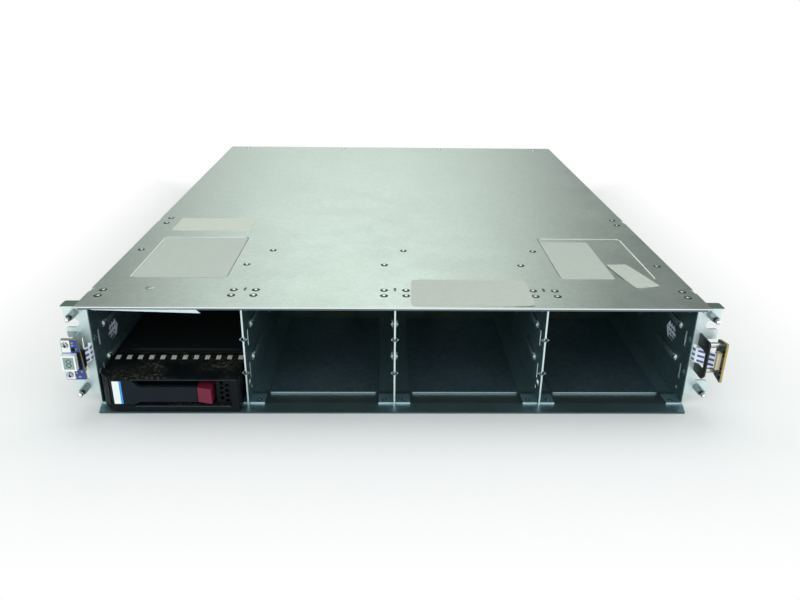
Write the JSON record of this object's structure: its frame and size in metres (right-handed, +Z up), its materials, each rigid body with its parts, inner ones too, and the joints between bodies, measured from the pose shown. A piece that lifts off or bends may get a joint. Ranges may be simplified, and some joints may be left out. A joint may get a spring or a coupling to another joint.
{
  "type": "disk enclosure",
  "caption": "Rack-mount disk enclosure of galvanised sheet steel with open hot-plug drive bays, a fitted drive carrier, rack ears with small boards, and pull-out rear modules.",
  "frame": {"origin": "on the bottom face, on the centre line, in the plane of the rack ears' rear faces", "axes": "+X to the right seen from the front, +Y into the chassis towards the rear modules, +Z up"},
  "size_m": [0.4826, 0.5761, 0.0887],
  "materials": {
    "galvanised_steel": "zinc coated sheet, satin",
    "galvanised_cover": "zinc coated sheet, satin, lightly scuffed",
    "bright_steel": "bright plated",
    "dark_steel": "black oxide, satin",
    "cast_aluminium": "dark cast with a satin lid",
    "black_plastic": "moulded, fine grain",
    "charcoal_plastic": "moulded, satin",
    "maroon_plastic": "moulded, semi gloss",
    "white_plastic": "moulded, gloss",
    "cream_plastic": "moulded nylon",
    "circuit_board": "solder mask over glass laminate",
    "ribbon_film": "flat film cable"
  },
  "bodies": {
    "chassis": {"bay_floor_plates": "galvanised_steel", "centre_bay_divider": "galvanised_steel", "chassis_tub": "galvanised_steel", "cover_rivets": "bright_steel", "digit_display": "white_plastic", "display_board": "circuit_board", "display_board_screws": "bright_steel", "display_bracket": "galvanised_steel", "display_cable_socket": "black_plastic", "drive_sockets": "black_plastic", "ear_ball_studs": "bright_steel", "io_shelf": "galvanised_steel", "led_board": "circuit_board", "led_board_standoffs": "bright_steel", "led_bracket": "dark_steel", "led_cable_socket": "cream_plastic", "left_bay_divider": "galvanised_steel", "left_ear_wall": "galvanised_steel", "left_partition": "galvanised_steel", "left_ribbon_cable": "ribbon_film", "midplane_board": "circuit_board", "midplane_bulkhead": "galvanised_steel", "module_sockets": "black_plastic", "right_bay_divider": "galvanised_steel", "right_ear_wall": "galvanised_steel", "right_partition": "galvanised_steel", "right_ribbon_cable": "ribbon_film", "top_cover": "galvanised_cover"},
    "drive": {"carrier_bezel": "black_plastic", "carrier_frame": "black_plastic", "disk_drive": "cast_aluminium", "drive_plug": "black_plastic", "drive_screws": "bright_steel", "spring_fingers": "bright_steel", "lever_pin": "bright_steel"},
    "drive_lever": {"eject_lever": "charcoal_plastic"},
    "drive_button": {"release_button": "maroon_plastic"},
    "left_power_module": {"left_psu_case": "galvanised_steel", "left_psu_inlet": "black_plastic"},
    "left_fan": {"left_psu_fan": "black_plastic"},
    "left_power_lever": {"left_psu_lever": "maroon_plastic"},
    "right_power_module": {"right_psu_case": "galvanised_steel", "right_psu_inlet": "black_plastic"},
    "right_fan": {"right_psu_fan": "black_plastic"},
    "right_power_lever": {"right_psu_lever": "maroon_plastic"},
    "upper_io_module": {"upper_io_case": "galvanised_steel", "upper_io_ports": "bright_steel"},
    "upper_io_left_arm": {"upper_io_left_lever": "maroon_plastic"},
    "upper_io_right_arm": {"upper_io_right_lever": "maroon_plastic"},
    "lower_io_module": {"lower_io_case": "galvanised_steel", "lower_io_ports": "bright_steel"},
    "lower_io_left_arm": {"lower_io_left_lever": "maroon_plastic"},
    "lower_io_right_arm": {"lower_io_right_lever": "maroon_plastic"}
  },
  "joints": [
    {"name": "drive_slide", "type": "slide", "parent": "chassis", "child": "drive", "axis": [0, -1, 0], "range_m": [0, 0.205]},
    {"name": "eject_lever_swing", "type": "hinge", "parent": "drive", "child": "drive_lever", "pos_m": [-0.2079, -0.0115, 0.0159], "axis": [0, 0, -1], "range_deg": [0, 60]},
    {"name": "release_button_press", "type": "slide", "parent": "drive", "child": "drive_button", "axis": [0, 1, 0], "range_m": [0, 0.0025], "stiffness_N_per_m": 300},
    {"name": "left_power_module_slide", "type": "slide", "parent": "chassis", "child": "left_power_module", "axis": [0, 1, 0], "range_m": [0, 0.36]},
    {"name": "left_fan_spin", "type": "hinge", "parent": "left_power_module", "child": "left_fan", "pos_m": [-0.19148, 0.5395, 0.05], "axis": [0, 1, 0], "continuous": true},
    {"name": "left_power_lever_swing", "type": "hinge", "parent": "left_power_module", "child": "left_power_lever", "pos_m": [-0.2147, 0.5517, 0.0106], "axis": [0, 0, 1], "range_deg": [0, 75]},
    {"name": "right_power_module_slide", "type": "slide", "parent": "chassis", "child": "right_power_module", "axis": [0, 1, 0], "range_m": [0, 0.36]},
    {"name": "right_fan_spin", "type": "hinge", "parent": "right_power_module", "child": "right_fan", "pos_m": [0.14984, 0.5395, 0.05], "axis": [0, 1, 0], "continuous": true},
    {"name": "right_power_lever_swing", "type": "hinge", "parent": "right_power_module", "child": "right_power_lever", "pos_m": [0.2147, 0.5517, 0.0106], "axis": [0, 0, -1], "range_deg": [0, 75]},
    {"name": "upper_io_module_slide", "type": "slide", "parent": "chassis", "child": "upper_io_module", "axis": [0, 1, 0], "range_m": [0, 0.36]},
    {"name": "upper_io_left_lever_swing", "type": "hinge", "parent": "upper_io_module", "child": "upper_io_left_arm", "pos_m": [-0.10862, 0.5517, 0.0521], "axis": [0, 0, 1], "range_deg": [0, 75]},
    {"name": "upper_io_right_lever_swing", "type": "hinge", "parent": "upper_io_module", "child": "upper_io_right_arm", "pos_m": [0.10862, 0.5517, 0.0521], "axis": [0, 0, -1], "range_deg": [0, 75]},
    {"name": "lower_io_module_slide", "type": "slide", "parent": "chassis", "child": "lower_io_module", "axis": [0, 1, 0], "range_m": [0, 0.36]},
    {"name": "lower_io_left_lever_swing", "type": "hinge", "parent": "lower_io_module", "child": "lower_io_left_arm", "pos_m": [-0.10862, 0.5517, 0.0091], "axis": [0, 0, 1], "range_deg": [0, 75]},
    {"name": "lower_io_right_lever_swing", "type": "hinge", "parent": "lower_io_module", "child": "lower_io_right_arm", "pos_m": [0.10862, 0.5517, 0.0091], "axis": [0, 0, -1], "range_deg": [0, 75]}
  ]
}
